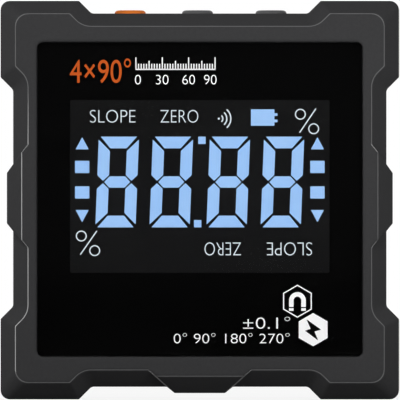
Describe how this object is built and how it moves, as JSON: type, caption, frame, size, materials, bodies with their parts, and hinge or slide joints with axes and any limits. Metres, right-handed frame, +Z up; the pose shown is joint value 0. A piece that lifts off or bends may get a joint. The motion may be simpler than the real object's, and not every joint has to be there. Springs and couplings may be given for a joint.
{
  "type": "digital angle gauge",
  "caption": "Square digital angle gauge with bumpered magnetic sides, a black display window, push buttons on top and a covered charging socket.",
  "frame": {"origin": "middle of the footprint on the plane of the bottom bumper faces", "axes": "+X to the right seen from the display side, +Y from the display to the back, +Z up"},
  "size_m": [0.06, 0.028, 0.06],
  "materials": {
    "housing_plastic": "finely textured dark grey moulding",
    "seal_rubber": "black silicone",
    "screw_steel": "zinc plated",
    "lens_acrylic": "smoked acrylic, black printed edge",
    "adhesive_foam": "black adhesive foam",
    "display_glass": "dark display glass",
    "display_marks": "lit pale blue",
    "frame_plastic": "white moulding",
    "light_panel": "milky light guide",
    "contact_rubber": "striped contact rubber",
    "board_laminate": "green solder mask",
    "chip_plastic": "black moulding",
    "switch_plastic": "black nylon",
    "plunger_plastic": "natural nylon",
    "orange_button": "satin orange",
    "grey_button": "satin mid grey",
    "socket_steel": "formed sheet",
    "cover_rubber": "matt black silicone",
    "cell_foil": "laminated foil",
    "lead_sleeve": "red sleeve",
    "magnet_nickel": "nickel plated"
  },
  "bodies": {
    "gauge": {"front_housing": "housing_plastic", "rear_cover": "housing_plastic", "housing_seal": "seal_rubber", "housing_screws": "screw_steel", "display_lens": "lens_acrylic", "lens_tape": "adhesive_foam", "lcd_panel": "display_glass", "lcd_segments": "display_marks", "lcd_frame": "frame_plastic", "backlight_panel": "light_panel", "contact_strips": "contact_rubber", "main_board": "board_laminate", "board_screws": "screw_steel", "processor_chip": "chip_plastic", "tilt_sensor": "chip_plastic", "buzzer": "chip_plastic", "power_switch": "switch_plastic", "hold_switch": "switch_plastic", "zero_switch": "switch_plastic", "button_seal": "seal_rubber", "usb_shell": "socket_steel", "usb_tongue": "chip_plastic", "battery_cell": "cell_foil", "battery_pad": "adhesive_foam", "battery_plug": "plunger_plastic", "battery_leads": "lead_sleeve", "magnets_bottom": "magnet_nickel", "magnets_right": "magnet_nickel", "magnets_top": "magnet_nickel", "magnets_left": "magnet_nickel"},
    "power_key": {"power_button": "orange_button", "power_plunger": "plunger_plastic"},
    "hold_key": {"hold_button": "grey_button", "hold_plunger": "plunger_plastic"},
    "zero_key": {"zero_button": "grey_button", "zero_plunger": "plunger_plastic"},
    "socket_cover": {"port_cover": "cover_rubber"}
  },
  "joints": [
    {"name": "power_press", "type": "slide", "parent": "gauge", "child": "power_key", "axis": [0, 0, -1], "range_m": [0, 0.0003], "stiffness_N_per_m": 2000, "springref_m": -0.0003},
    {"name": "hold_press", "type": "slide", "parent": "gauge", "child": "hold_key", "axis": [0, 0, -1], "range_m": [0, 0.0003], "stiffness_N_per_m": 2000, "springref_m": -0.0003},
    {"name": "zero_press", "type": "slide", "parent": "gauge", "child": "zero_key", "axis": [0, 0, -1], "range_m": [0, 0.0003], "stiffness_N_per_m": 2000, "springref_m": -0.0003},
    {"name": "cover_pull", "type": "slide", "parent": "gauge", "child": "socket_cover", "axis": [1, 0, 0], "range_m": [0, 0.005]}
  ]
}
